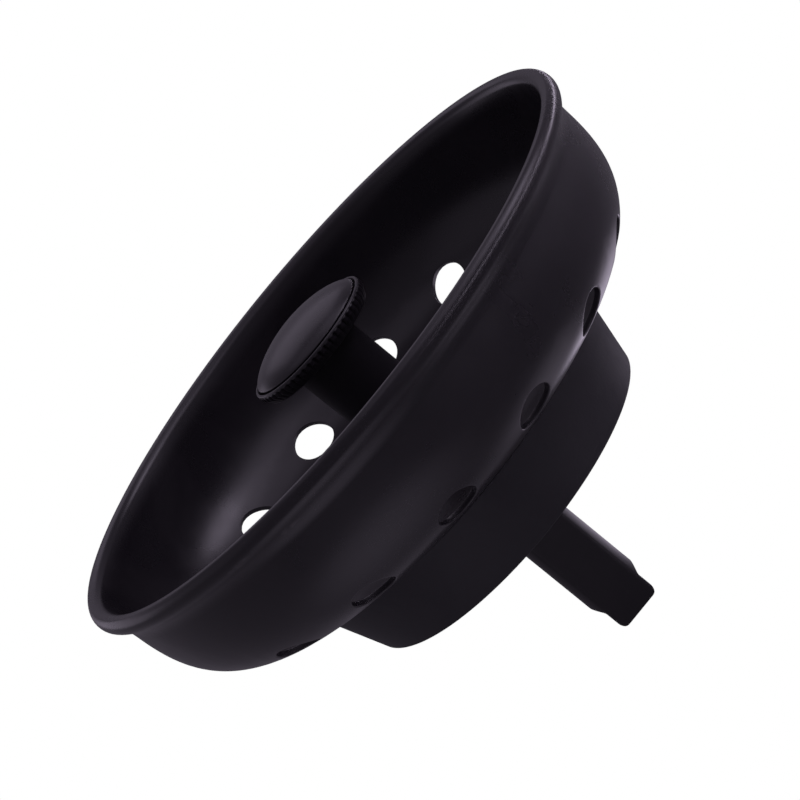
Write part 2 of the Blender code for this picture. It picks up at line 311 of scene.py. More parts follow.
# %% Grain, handling marks, edge wear and lathe rings
def make_grain():
    """The coat's fine orange peel, from two sizes of noise."""
    group, given, result = new_group("coat_grain", {"Scale": 5000.0}, ["Height"])
    place = group.nodes.new("ShaderNodeTexCoord").outputs["Object"]
    fine = add_node(group, "ShaderNodeTexNoise", {"Detail": 3.0, "Roughness": 0.6},
                    {"Vector": place, "Scale": given.outputs["Scale"]})
    broad = add_node(group, "ShaderNodeTexNoise", {"Detail": 2.0},
                     {"Vector": place, "Scale": add_math(group, "MULTIPLY",
                                                         given.outputs["Scale"], 0.18)})
    peel = add_math(group, "MULTIPLY", broad.outputs["Fac"], 1.6)
    group.links.new(add_math(group, "ADD", fine.outputs["Fac"], peel), result.inputs["Height"])
    return group


def make_handling():
    """Soft smudges and dull patches that fingers and water leave."""
    group, given, result = new_group("handling_marks", {"Scale": 60.0}, ["Mask"])
    place = group.nodes.new("ShaderNodeTexCoord").outputs["Object"]
    cloud = add_node(group, "ShaderNodeTexNoise", {"Detail": 5.0, "Roughness": 0.62,
                                                   "Distortion": 0.6},
                     {"Vector": place, "Scale": given.outputs["Scale"]})
    streak = add_node(group, "ShaderNodeTexNoise", {"Detail": 4.0, "Distortion": 2.5},
                      {"Vector": place, "Scale": add_math(group, "MULTIPLY",
                                                          given.outputs["Scale"], 5.0)})
    patches = ramp(group, cloud.outputs["Fac"], 0.4, 0.66)
    flecks = ramp(group, streak.outputs["Fac"], 0.58, 0.74)
    mixed = add_math(group, "ADD", patches, add_math(group, "MULTIPLY", flecks, 0.35))
    group.links.new(add_math(group, "MINIMUM", mixed, 1.0), result.inputs["Mask"])
    return group


def make_edge_wear():
    """A mask of convex edges, broken up so that it isn't a drawn line."""
    group, given, result = new_group("edge_wear", {"Threshold": 0.53, "Breakup": 900.0},
                                     ["Mask"])
    place = group.nodes.new("ShaderNodeTexCoord").outputs["Object"]
    pointy = group.nodes.new("ShaderNodeNewGeometry").outputs["Pointiness"]
    noise = add_node(group, "ShaderNodeTexNoise", {"Detail": 3.0},
                     {"Vector": place, "Scale": given.outputs["Breakup"]})
    shifted = add_math(group, "SUBTRACT", pointy, given.outputs["Threshold"])
    edge = ramp(group, shifted, 0.0, 0.06)
    broken = ramp(group, noise.outputs["Fac"], 0.36, 0.62)
    group.links.new(add_math(group, "MULTIPLY", edge, broken), result.inputs["Mask"])
    return group


def make_lathe_rings():
    """Fine rings about the stem's axis, as a turning tool or a forming die leaves."""
    group, given, result = new_group("lathe_rings", {"Rings": 9000.0}, ["Height"])
    place = group.nodes.new("ShaderNodeTexCoord").outputs["Object"]
    split = add_node(group, "ShaderNodeSeparateXYZ", (), {"Vector": place})
    flat = add_node(group, "ShaderNodeCombineXYZ", (),
                    {"X": split.outputs["X"], "Y": split.outputs["Y"]})
    radius = add_node(group, "ShaderNodeVectorMath", (), {0: flat.outputs["Vector"]},
                      operation="LENGTH")
    along = add_node(group, "ShaderNodeCombineXYZ", (),
                     {"X": radius.outputs["Value"], "Y": split.outputs["Z"]})
    noise = add_node(group, "ShaderNodeTexNoise", {"Detail": 2.0, "Roughness": 0.7},
                     {"Vector": along.outputs["Vector"], "Scale": given.outputs["Rings"]})
    group.links.new(noise.outputs["Fac"], result.inputs["Height"])
    return group


GRAIN, HANDLING = make_grain(), make_handling()
EDGE_WEAR, LATHE_RINGS = make_edge_wear(), make_lathe_rings()
print("node groups:", [group.name for group in bpy.data.node_groups])

# %% [markdown]
# ## Finishes
# The cup, knob, stem and post carry the same satin black coat, baked on over metal. It isn't a
# flat colour: handling dulls it in patches, its grain scatters the highlights, and edges wear a
# little brighter. The rubber is drier and more matt, with a faint bloom. The hidden washers and
# stud are plain steel, and the bush is natural nylon. One helper lays down what they share.

# %% Finish helper
WORN_COAT = (0.06, 0.056, 0.058)


def use_group(tree, group, **values):
    made = tree.nodes.new("ShaderNodeGroup")
    made.node_tree = group
    for label, value in values.items():
        made.inputs[label].default_value = value
    return made


def mix_colour(tree, factor, a, b):
    """A blend from a to b by factor; b is a colour, and a is a colour or a socket."""
    made = tree.nodes.new("ShaderNodeMix")
    made.data_type = "RGBA"
    made.inputs["B"].default_value = (*b, 1.0)
    if isinstance(a, tuple):
        made.inputs["A"].default_value = (*a, 1.0)
    else:
        tree.links.new(a, made.inputs["A"])
    tree.links.new(factor, made.inputs["Factor"])
    return made.outputs["Result"]


def make_finish(name, fresh, marked, roughness, height, depth, wear=0.0, metallic=0.0):
    """A Principled finish: two colours by handling, two roughnesses, fine relief and edge wear.

    height is a function that adds the relief to the tree and returns its socket, depth is the
    relief's in millimetres, and wear is how strongly the edges show the bare coat.
    """
    finish = bpy.data.materials.new(name)
    finish.use_nodes = True
    tree = finish.node_tree
    shader = tree.nodes["Principled BSDF"]
    shader.inputs["Metallic"].default_value = metallic
    marks = use_group(tree, HANDLING).outputs["Mask"]
    colour = mix_colour(tree, marks, fresh, marked)
    if wear > 0:
        worn = add_math(tree, "MULTIPLY", use_group(tree, EDGE_WEAR).outputs["Mask"], wear)
        colour = mix_colour(tree, worn, colour, WORN_COAT)
    tree.links.new(colour, shader.inputs["Base Color"])
    rough = add_node(tree, "ShaderNodeMapRange",
                     {"To Min": roughness[0], "To Max": roughness[1]}, {"Value": marks})
    tree.links.new(rough.outputs["Result"], shader.inputs["Roughness"])
    bump = add_node(tree, "ShaderNodeBump", {"Strength": 1.0, "Distance": depth * MM},
                    {"Height": height(tree)})
    tree.links.new(bump.outputs["Normal"], shader.inputs["Normal"])
    return finish


print("worn coat:", WORN_COAT)

# %% The strainer's finishes
def grain(scale):
    return lambda tree: use_group(tree, GRAIN, Scale=scale).outputs["Height"]


def rings(scale):
    return lambda tree: use_group(tree, LATHE_RINGS, Rings=scale).outputs["Height"]


black_coat = make_finish("satin black coat", (0.0125, 0.0108, 0.014), (0.016, 0.0138, 0.0172),
                         (0.27, 0.34), grain(5200.0), 0.002, wear=0.5)
cap_coat = make_finish("smooth black coat", (0.0125, 0.0108, 0.014), (0.0155, 0.0134, 0.0168),
                       (0.26, 0.32), grain(6500.0), 0.0014, wear=0.4)
stem_coat = make_finish("turned black coat", (0.009, 0.0075, 0.0105), (0.012, 0.0102, 0.0135),
                        (0.36, 0.45), rings(6000.0), 0.002, wear=0.4)
black_rubber = make_finish("moulded black rubber", (0.0125, 0.0114, 0.0148),
                           (0.0175, 0.0162, 0.02), (0.6, 0.74), grain(2600.0), 0.012)
ring_rubber = make_finish("ring rubber", (0.011, 0.011, 0.011), (0.016, 0.016, 0.016),
                          (0.4, 0.55), grain(5000.0), 0.003)
plain_steel = make_finish("plain steel", (0.52, 0.51, 0.49), (0.44, 0.43, 0.41),
                          (0.26, 0.4), rings(8000.0), 0.003, metallic=1.0)
nylon = make_finish("natural nylon", (0.74, 0.72, 0.66), (0.68, 0.66, 0.59),
                    (0.42, 0.55), grain(3000.0), 0.005)
print("finishes:", [finish.name for finish in bpy.data.materials])

# %% [markdown]
# ## Turning a section
# Nearly every piece is round, so one helper works as the lathe: it takes a section as points of
# radius and height and carries it round the stem's axis. Blender's Screw modifier or bmesh spin
# would do for the plain ones, but the knob's serrations, the post's flats and the stud's thread
# need a radius that changes with the angle, so the helper takes a shape function as well.
# Section corners are rounded first, because real edges are never razor sharp.

# %% Lathe and rounding helpers
FILLET_STEPS = 4


def rounded(corners):
    """Round a closed section. Each corner is (radius, height, fillet); a fillet of 0 stays put."""
    points = []
    for i, (r, z, fillet) in enumerate(corners):
        if fillet == 0:
            points.append((r, z))
            continue
        here = Vector((r, z))
        before = (Vector(corners[i - 1][:2]) - here).normalized()
        after = (Vector(corners[(i + 1) % len(corners)][:2]) - here).normalized()
        half = before.angle(after) / 2
        centre = here + (before + after).normalized() * fillet / sin(half)
        first = here + before * fillet / tan(half) - centre
        last = here + after * fillet / tan(half) - centre
        for k in range(FILLET_STEPS + 1):
            points.append(tuple(centre + first.slerp(last, k / FILLET_STEPS) * fillet))
    return points


def arc(centre, radii, start_deg, end_deg, count):
    """Points along an elliptic arc."""
    points = []
    for i in range(count + 1):
        turn = radians(start_deg + (end_deg - start_deg) * i / count)
        points.append((centre[0] + radii[0] * cos(turn), centre[1] + radii[1] * sin(turn)))
    return points


def lathe(section, steps, shape=None, closed=True, start=0.0):
    """Vertices in metres and faces of a section turned about Z.

    shape(r, z, angles) may return other radii round a row. A closed section joins its last point
    to its first. A point on the axis becomes one vertex.
    """
    angles = start + 2 * pi * np.arange(steps) / steps
    verts, loops = [], []
    for r, z in section:
        first = len(verts)
        if r == 0:
            verts.append((0.0, 0.0, z * MM))
        else:
            radii = np.full(steps, r) if shape is None else shape(r, z, angles)
            heights = np.full(steps, z)
            verts += zip(radii * np.cos(angles) * MM, radii * np.sin(angles) * MM, heights * MM)
        loops.append(range(first, len(verts)))
    pairs = list(zip(loops, loops[1:]))
    if closed:
        pairs.append((loops[-1], loops[0]))
    faces = []
    for a, b in pairs:
        for k in range(steps):
            n = k + 1
            corners = [a[k % len(a)], a[n % len(a)], b[n % len(b)], b[k % len(b)]]
            face = list(dict.fromkeys(corners))
            if len(face) > 2:
                faces.append(face)
    return verts, faces


print("fillets take", FILLET_STEPS, "steps")

# %% Add a piece
WELD = 1e-7                # metres


def add_piece(name, verts, faces, finish, body, slot, replaced, sharp_deg=40):
    """One clean, closed, smooth-shaded piece that stands for a frame node."""
    bm = bmesh.new()
    made = [bm.verts.new(v) for v in verts]
    for face in faces:
        bm.faces.new([made[i] for i in face])
    bmesh.ops.remove_doubles(bm, verts=bm.verts, dist=WELD)
    bmesh.ops.recalc_face_normals(bm, faces=bm.faces)
    mesh = bpy.data.meshes.new(name)
    bm.to_mesh(mesh)
    open_edges = sum(1 for edge in bm.edges if not edge.is_manifold)
    bm.free()
    mesh.materials.append(finish)
    mesh.shade_smooth()
    mesh.set_sharp_from_angle(angle=radians(sharp_deg))
    piece = bpy.data.objects.new(name, mesh)
    bpy.context.collection.objects.link(piece)
    weighted = piece.modifiers.new("weighted normals", "WEIGHTED_NORMAL")
    weighted.keep_sharp = True
    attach(piece, body)
    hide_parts(replaced)
    low, high = np.array(verts).min(0), np.array(verts).max(0)
    print(f"{name}: {len(mesh.polygons)} faces, {open_edges} open edges,",
          "size mm", np.round((high - low) / MM, 2))


print("vertices closer than", WELD, "m are welded")

# %% [markdown]
# ## The cup's curve
# The cup is pressed from thin sheet: a nearly flat floor, a foot that rounds up into an upright
# wall, and a lip rolled over at the top. The wall and foot are one curve without a corner, which
# a fillet between straight lines can't give, so it is a superellipse: an ellipse whose powers
# are above 2, which makes it squarer. The inner face is the same curve moved in by the sheet.

# %% The cup's curve
SHEET = 0.7
WALL_RADIUS = 38.75
BOWL_TOP, BOWL_DEPTH = 27.4, 17.95
ACROSS_POWER, DOWN_POWER = 5.0, 3.2
FLOOR_TURN = 82.0          # where the curve gives way to the flat floor
CURVE_SAMPLES = 1600
HOLE_RING_RADIUS = 34.3


def bowl_point(turn_deg, inset=0.0):
    """A point of the cup's outer curve, moved into the sheet by inset. A turn of 0 is upright."""
    turn = radians(turn_deg)
    r = WALL_RADIUS * cos(turn) ** (2 / ACROSS_POWER)
    drop = BOWL_DEPTH * sin(turn) ** (2 / DOWN_POWER)
    slope_r = ACROSS_POWER / WALL_RADIUS * (r / WALL_RADIUS) ** (ACROSS_POWER - 1)
    slope_z = DOWN_POWER / BOWL_DEPTH * (drop / BOWL_DEPTH) ** (DOWN_POWER - 1)
    normal = Vector((slope_r, -slope_z)).normalized()
    return r - inset * normal.x, BOWL_TOP - drop - inset * normal.y


def bowl_turn(radius):
    return degrees(acos((radius / WALL_RADIUS) ** (ACROSS_POWER / 2)))


class Curve:
    """One face of the bowl by its length down the curve, with 0 at the middle of a hole."""

    def __init__(self, inset):
        turns = np.linspace(1.0, FLOOR_TURN, CURVE_SAMPLES)
        points = np.array([bowl_point(turn, inset) for turn in turns])
        steps = np.hypot(*np.diff(points, axis=0).T)
        self.length = np.concatenate(([0.0], np.cumsum(steps)))
        self.r, self.z = points.T
        self.length -= np.interp(bowl_turn(HOLE_RING_RADIUS), turns, self.length)

    def at(self, length):
        return np.interp(length, self.length, self.r), np.interp(length, self.length, self.z)

    def rows(self, start, end, count):
        return [self.at(x) for x in np.linspace(start, end, count + 1)]


outer_curve, inner_curve = Curve(0.0), Curve(SHEET)
print("bowl curve mm:", np.round([outer_curve.length[0], outer_curve.length[-1]], 2))

# %% [markdown]
# ## The drain holes
# Sixteen round holes are punched through the rounded foot, square to its curve. A Boolean would
# cut them, but it leaves slivers that spoil the highlights on a satin curve. So each hole is laid
# out as a patch of rings that grow from the round hole to the straight sides of its own sixteenth
# of the cup. The same loops of points run from the outer face through the hole to the inner face.

# %% The outline of a hole's patch
HOLE_COUNT, HOLE_RADIUS = 16, 2.72
FIRST_HOLE_DEG = 263.9
COLUMNS_PER_HOLE = 12
PATCH_REACH = 4.3          # from the middle of a hole to its patch's upper and lower sides
PATCH_SIDE = 10            # faces up each side of a patch
PATCH_RINGS = (0.0, 0.05, 0.14, 0.3, 0.52, 0.76, 1.0)
ROLLED_EDGE, CUT_EDGE = 0.16, 0.08    # a punch drags the outer edge in and leaves the inner crisp
EDGE_ROWS = 5
NUDGE = 0.01               # either side of a hole's middle, to find the curve's direction
MEETING_ATTEMPTS = 8
SECTOR = 2 * pi / HOLE_COUNT


def patch_border():
    """Points round a patch, as length down the curve and turn from the hole, anticlockwise."""
    across = np.linspace(-SECTOR / 2, SECTOR / 2, COLUMNS_PER_HOLE + 1)
    down = np.linspace(-PATCH_REACH, PATCH_REACH, PATCH_SIDE + 1)
    border = [(PATCH_REACH, turn) for turn in across[:-1]]
    border += [(x, SECTOR / 2) for x in down[:0:-1]]
    border += [(-PATCH_REACH, turn) for turn in across[:0:-1]]
    border += [(x, -SECTOR / 2) for x in down[:-1]]
    return np.array(border)


print("patch border:", len(patch_border()), "points")

# %% The drill and the patch
class Drill:
    """A hole's axis and its two cross directions, square to the bowl's curve."""

    def __init__(self):
        r, z = outer_curve.at(0.0)
        above, below = outer_curve.at(-NUDGE), outer_curve.at(NUDGE)
        down = Vector((below[0] - above[0], below[1] - above[1])).normalized()
        self.middle = np.array((float(r), 0.0, float(z)))
        self.down = np.array((down.x, 0.0, down.y))
        self.out = np.array((-down.y, 0.0, down.x))

    def meets(self, curve, bearings, radius):
        """Where a cylinder of this radius meets the curve, as length down and turn."""
        a, b = radius * np.cos(bearings), radius * np.sin(bearings)
        length = a
        for attempt in range(MEETING_ATTEMPTS):
            r, z = curve.at(length)
            turn = np.arcsin(b / r)
            reach = (r * np.cos(turn) - self.middle[0]) * self.down[0]
            reach += (z - self.middle[2]) * self.down[2]
            length = length + (a - reach)
        return np.column_stack((length, turn))


def on_curve(curve, places):
    r, z = curve.at(places[:, 0])
    return np.column_stack((r * np.cos(places[:, 1]), r * np.sin(places[:, 1]), z))


def hole_patch():
    """Loops of points from one hole's patch outside, through the hole, to its patch inside."""
    drill, border = Drill(), patch_border()
    bearings = np.arctan2(border[:, 1] * HOLE_RING_RADIUS, border[:, 0])
    loops = []
    for curve, order, edge in ((outer_curve, -1, ROLLED_EDGE), (inner_curve, 1, CUT_EDGE)):
        mouth = drill.meets(curve, bearings, HOLE_RADIUS + edge)
        surface = [on_curve(curve, mouth + (border - mouth) * t) for t in PATCH_RINGS]
        depth = order * edge * drill.out
        centre = surface[0] + depth
        ray = surface[0] - drill.middle
        ray -= np.outer(ray @ drill.out, drill.out)
        ray /= np.linalg.norm(ray, axis=1)[:, None]
        bend = [centre - edge * sin(a) * ray - depth * cos(a)
                for a in np.linspace(0, pi / 2, EDGE_ROWS + 1)[1:]]
        side = surface[::-1] + bend
        loops += side if order < 0 else side[::-1]
    return loops


def bridge(loops):
    """Faces between one loop of points and the next."""
    count = len(loops[0])
    faces = []
    for row in range(len(loops) - 1):
        for k in range(count):
            n = (k + 1) % count
            a, b = row * count, (row + 1) * count
            faces.append([a + k, a + n, b + n, b + k])
    return faces


def joined(parts):
    verts, faces = [], []
    for some_verts, some_faces in parts:
        base = len(verts)
        verts += [tuple(v) for v in some_verts]
        faces += [[base + i for i in face] for face in some_faces]
    return verts, faces


patch = hole_patch()
print("hole patch:", len(patch), "loops of", len(patch[0]))

# %% [markdown]
# ## The lip
# The wall flares out under a rolled lip, and the lip turns over into the cup. What shows is a
# bright bead, a soft dark line below it and a lighter flare, so nothing here may be a crease. The
# crown and the foot of the flare are arcs, and each pair is joined by a Hermite curve, which
# leaves the first arc and meets the second one in their own directions.

# %% The lip's section
INNER_WALL_TOP, FLARE_FOOT, FLARE_RADIUS = 26.0, 24.75, 3.0
ROLL_DEG, NOSE_DEG, FLARE_DEG = (172, 97), (90, -14), (145, 180)    # each arc's start and end
RIM_RADIUS, RIM_HEIGHT = 40.5, 28.37
LIP_REACH, LIP_RISE = 0.9, 1.16
INNER_ROLL = 1.3
EASED_POINTS = 8


def eased(before, after):
    """Points of a smooth bend that carries on from one run of points and leads into the next."""
    start, end = Vector(before[-1]), Vector(after[0])
    reach = (end - start).length
    leave = (start - Vector(before[-2])).normalized() * reach
    arrive = (Vector(after[1]) - end).normalized() * reach
    points = []
    for i in range(1, EASED_POINTS):
        t = i / EASED_POINTS
        place = start * (2 * t ** 3 - 3 * t ** 2 + 1) + leave * (t ** 3 - 2 * t ** 2 + t)
        place += end * (3 * t ** 2 - 2 * t ** 3) + arrive * (t ** 3 - t ** 2)
        points.append(tuple(place))
    return points


def lip_rows():
    """From the inner wall over the rolled lip and down its flare to the outer wall."""
    crown = RIM_RADIUS - LIP_REACH
    inner_wall = [(WALL_RADIUS - SHEET, z) for z in (INNER_WALL_TOP, INNER_WALL_TOP + 0.3)]
    roll = arc((crown, RIM_HEIGHT), (INNER_ROLL, LIP_RISE), *ROLL_DEG, count=10)
    nose = arc((crown, RIM_HEIGHT), (LIP_REACH, LIP_RISE), *NOSE_DEG, count=20)
    flare_centre = (WALL_RADIUS + FLARE_RADIUS, FLARE_FOOT)
    flare = arc(flare_centre, (FLARE_RADIUS, FLARE_RADIUS), *FLARE_DEG, count=12)
    rows = inner_wall + eased(inner_wall, roll) + roll
    return rows + nose + eased(nose, flare) + flare


print("lip section:", len(lip_rows()), "points")

# %% [markdown]
# ## The whole cup
# The lip and the floor are turned on the lathe in the same columns as the patches' straight
# sides, so that everything meets point for point and the seams can be welded shut.

# %% The cup
FLOOR_HOLE, FLOOR_HOLE_EDGE = 2.2, 0.08
UNDER_FLARE = 0.3          # from the foot of the flare down to the first row of the bowl
BOWL_ROWS = 14


def cup_parts():
    """Vertices and faces of the upper and lower parts and of each hole's patch."""
    upper = inner_curve.rows(-PATCH_REACH, inner_curve.length[0], BOWL_ROWS)
    upper += lip_rows()
    first_row = np.interp(UNDER_FLARE - FLARE_FOOT, -outer_curve.z, outer_curve.length)
    upper += outer_curve.rows(first_row, -PATCH_REACH, BOWL_ROWS)
    lower = outer_curve.rows(PATCH_REACH, outer_curve.length[-1], BOWL_ROWS)
    floor_low, floor_high = BOWL_TOP - BOWL_DEPTH, BOWL_TOP - BOWL_DEPTH + SHEET
    edge = FLOOR_HOLE_EDGE
    lower += [(FLOOR_HOLE + edge, floor_low), (FLOOR_HOLE, floor_low + edge)]
    lower += [(FLOOR_HOLE, floor_high - edge), (FLOOR_HOLE + edge, floor_high)]
    lower += inner_curve.rows(inner_curve.length[-1], PATCH_REACH, BOWL_ROWS)
    first = radians(FIRST_HOLE_DEG) - SECTOR / 2
    columns = HOLE_COUNT * COLUMNS_PER_HOLE
    parts = [lathe(upper, columns, closed=False, start=first),
             lathe(lower, columns, closed=False, start=first)]
    points = np.vstack(patch)
    for i in range(HOLE_COUNT):
        turn = radians(FIRST_HOLE_DEG) + i * SECTOR
        spin = np.array(((cos(turn), sin(turn), 0), (-sin(turn), cos(turn), 0), (0, 0, 1)))
        parts.append((points @ spin * MM, bridge(patch)))
    return parts


add_piece("pressed_cup", *joined(cup_parts()), black_coat, STILL, "basket", "basket")

# %% [markdown]
# ## The rubber stopper
# The stopper is a thick rubber cone moulded to fit closely under the cup. Its lower rim seats in
# the drain, and a recess below takes a washer. Moulded rubber has soft edges, so every corner of
# its section is rounded before it is turned.

# %% Stopper
STOPPER_TOP_RADIUS, STOPPER_FOOT_RADIUS = 24.6, 21.92
FOOT_CHAMFER = (0.35, 0.12)          # across and up
GAP = 0.3
UNDERSIDE_RADII = (19.5, 21.0, 22.0, 23.0, 23.8)
RECESS_RADIUS, RECESS_DEPTH = 11.2, 2.5
STOPPER_BORE, RING_SEAT, RING_SEAT_FLOOR = 3.3, 3.8, 7.4
SOFT_EDGE, SOFT_SEAT = 0.3, 0.2


def stopper_section():
    foot = edges("stopper")[0][2]
    under = BOWL_TOP - BOWL_DEPTH - GAP
    across, up = FOOT_CHAMFER
    corners = [(RING_SEAT, RING_SEAT_FLOOR, 0.1), (RING_SEAT, under, SOFT_SEAT)]
    corners += [(*bowl_point(FLOOR_TURN, -GAP), 0)]
    corners += [(*bowl_point(bowl_turn(r), -GAP), 0) for r in UNDERSIDE_RADII]
    corners += [(*bowl_point(bowl_turn(STOPPER_TOP_RADIUS), -GAP), SOFT_EDGE)]
    corners += [(STOPPER_FOOT_RADIUS, up, 0.3), (STOPPER_FOOT_RADIUS - across, foot, 0.15)]
    corners += [(RECESS_RADIUS, foot, SOFT_EDGE), (RECESS_RADIUS, RECESS_DEPTH, SOFT_EDGE)]
    corners += [(STOPPER_BORE, RECESS_DEPTH, SOFT_SEAT), (STOPPER_BORE, RING_SEAT_FLOOR, SOFT_SEAT)]
    return rounded(corners)


add_piece("rubber_stopper", *lathe(stopper_section(), steps=192), black_rubber,
          STILL, "stopper", "stopper")

# %% [markdown]
# ## The knob
# The knob is a turned disc whose rim carries a row of fine serrations for wet fingers, pressed
# in by a knurling wheel. The wheel's teeth leave wide lands with narrow valleys that fade out
# towards the bevel below. The valleys come from a radius that changes with the angle, which
# keeps them in clean columns, where a displacement texture would need far more faces.

# %% The knob's serrations
KNOB_RADIUS, KNOB_FOOT, KNOB_TOP = 8.91, 28.4, 30.3
RING_RADIUS = 8.85         # plain ring between the cap's seat and the serrations
BAND_FOOT, BAND_TOP = 29.4, 30.0
FADE_FOOT, FADE_TOP = (-0.75, 0.1), (-0.16, 0.0)    # where the valleys fade, from those levels
SERRATIONS, SERRATION_DEPTH = 60, 0.32
COLUMNS_PER_SERRATION = 8
VALLEY_POWER = 4           # a higher power makes narrower valleys
CAP_SEAT_RADIUS, CAP_SEAT = 8.5, 29.3
OUTSIDE_SEAT = 0.05


def smooth(value, low, high):
    """0 below low, 1 above high, and eased between."""
    t = min(max((value - low) / (high - low), 0.0), 1.0)
    return t * t * (3 - 2 * t)


def knurled(r, z, angles):
    """The radius round a row of the knob, with valleys between the lands of its rim."""
    starts = smooth(z, BAND_FOOT + FADE_FOOT[0], BAND_FOOT + FADE_FOOT[1])
    ends = smooth(z, BAND_TOP + FADE_TOP[0], BAND_TOP + FADE_TOP[1])
    valley = ((1 - np.cos(SERRATIONS * angles)) / 2) ** VALLEY_POWER
    on_rim = r > CAP_SEAT_RADIUS + OUTSIDE_SEAT
    return r - SERRATION_DEPTH * starts * (1 - ends) * on_rim * valley


print("serrations every mm:", round(2 * pi * KNOB_RADIUS / SERRATIONS, 2))

# %% Knob
KNOB_BEVEL = 0.65
RING_EDGE = 0.2
HUB_RADIUS, HUB_FOOT, STUD_HOLE, HUB_BORE_TOP = 3.3, 21.7, 2.0, 28.5


def knob_section():
    """From the seat's middle over the rim and down to the hub's bore."""
    section = [(0.0, CAP_SEAT), (CAP_SEAT_RADIUS - 0.1, CAP_SEAT),
               (CAP_SEAT_RADIUS, CAP_SEAT + 0.1), (CAP_SEAT_RADIUS, KNOB_TOP - 0.04)]
    section += [(CAP_SEAT_RADIUS + 0.04, KNOB_TOP)]
    ring_centre = (RING_RADIUS - RING_EDGE, KNOB_TOP - RING_EDGE)
    section += arc(ring_centre, (RING_EDGE, RING_EDGE), 90, 0, 6)
    section += [(RING_RADIUS + 0.02, BAND_TOP + 0.02), (KNOB_RADIUS - 0.01, BAND_TOP - 0.04)]
    section += [(KNOB_RADIUS, z) for z in np.linspace(BAND_TOP - 0.1, BAND_FOOT + 0.04, 8)]
    section += [(KNOB_RADIUS - 0.02, BAND_FOOT - 0.02), (KNOB_RADIUS - 0.07, BAND_FOOT - 0.1)]
    section += [(KNOB_RADIUS - 0.2, BAND_FOOT - 0.3), (KNOB_RADIUS - 0.55, KNOB_FOOT + 0.2),
                (KNOB_RADIUS - 0.62, KNOB_FOOT + 0.06),
                (KNOB_RADIUS - KNOB_BEVEL - 0.05, KNOB_FOOT)]
    section += [(HUB_RADIUS + 0.15, KNOB_FOOT), (HUB_RADIUS, KNOB_FOOT - 0.15),
                (HUB_RADIUS, HUB_FOOT + 0.2), (HUB_RADIUS - 0.2, HUB_FOOT),
                (STUD_HOLE, HUB_FOOT), (STUD_HOLE, HUB_BORE_TOP), (0.0, HUB_BORE_TOP)]
    return section


columns = SERRATIONS * COLUMNS_PER_SERRATION
add_piece("knurled_knob", *lathe(knob_section(), columns, shape=knurled, closed=False),
          black_coat, TURNING, "knob", "knob", sharp_deg=50)

# %% [markdown]
# ## The knob's cap
# A smooth domed disc is pressed into the knob's seat. It leaves a fine groove round its edge,
# which is what makes the top read as two pieces. The dome is fuller near its edge than a
# sphere's, so its section is worked out point by point, where a squashed UV sphere would be flat.

# %% Knob cap
CAP_RADIUS, CAP_EDGE_TOP, CAP_FOOT = 8.26, 30.44, 29.6
CAP_CROWN = edges("knob_cap")[1][2]
CAP_DOME_POWER, CAP_SHOULDER_POWER = 2.1, 0.75
DOME_ROWS = 47


def cap_section():
    dome = []
    for turn in np.linspace(0.0, pi / 2, DOME_ROWS + 1)[1:-1]:
        share = sin(turn)
        fall = (1 - share ** CAP_DOME_POWER) ** CAP_SHOULDER_POWER
        dome.append((CAP_RADIUS * share, CAP_EDGE_TOP + (CAP_CROWN - CAP_EDGE_TOP) * fall))
    return [(0.0, CAP_CROWN), *dome, (CAP_RADIUS, CAP_EDGE_TOP - 0.04),
            (CAP_RADIUS - 0.1, CAP_EDGE_TOP - 0.16), (CAP_RADIUS - 0.1, CAP_FOOT + 0.1),
            (CAP_RADIUS - 0.2, CAP_FOOT), (0.0, CAP_FOOT)]


add_piece("domed_cap", *lathe(cap_section(), steps=256, closed=False), cap_coat,
          TURNING, "knob_cap", "knob_cap")

# %% [markdown]
# ## The stem and its washers
# Inside the cup the knob stands on a plain turned sleeve, which turns on a thin washer. Another
# washer backs the rubber from below. Their edges have a small radius, as a turner would leave
# them with a file.

# %% Stem sleeve and washers
SLEEVE_BORE, SLEEVE_SHOULDER = 3.6, 20.5


def sleeve_section():
    low, high = edges("stem_sleeve")
    corners = [(STUD_HOLE, low[2], 0.1), (high[0], low[2], 0.25), (high[0], high[2], 0.15),
               (SLEEVE_BORE, high[2], 0.1), (SLEEVE_BORE, SLEEVE_SHOULDER, 0.1),
               (STUD_HOLE, SLEEVE_SHOULDER, 0.1)]
    return rounded(corners)


def ring_section(node, soft):
    """A flat ring round the stud that fills its node's height, with softened edges."""
    low, high = edges(node)
    corners = [(STUD_HOLE, low[2], soft / 2), (high[0], low[2], soft),
               (high[0], high[2], soft), (STUD_HOLE, high[2], soft / 2)]
    return rounded(corners)


add_piece("turned_stem", *lathe(sleeve_section(), steps=160), stem_coat,
          TURNING, "stem", "stem_sleeve")
add_piece("thrust_ring", *lathe(ring_section("thrust_washer", soft=0.18), steps=128), nylon,
          STILL, "nylon", "thrust_washer")
add_piece("backing_ring", *lathe(ring_section("stopper_washer", soft=0.2), steps=160),
          plain_steel, STILL, "washer", "stopper_washer")

# %% [markdown]
# ## The post
# The post is a short bar with a flat milled on each side, so that it can't turn in the slot of
# the drain's cross-bar. Near its end it steps down to a narrower nose with rounded corners, which
# finds the slot. Every level of it is a round bar cut by flats, so its shape is the softened
# smallest of three limits, and that also rounds its long edges evenly.

# %% The post's outline
POST_RADIUS, POST_FLAT = 3.75, 2.55
POST_TIP, POST_TOP = edges("post")[0][2], edges("post")[1][2]
NOSE_HALF_WIDTH, NOSE_CORNER, NOSE_TOP = 3.0, 0.9, -18.3
FULL_WIDTH = 3.85          # past the bar's radius, so that it doesn't limit
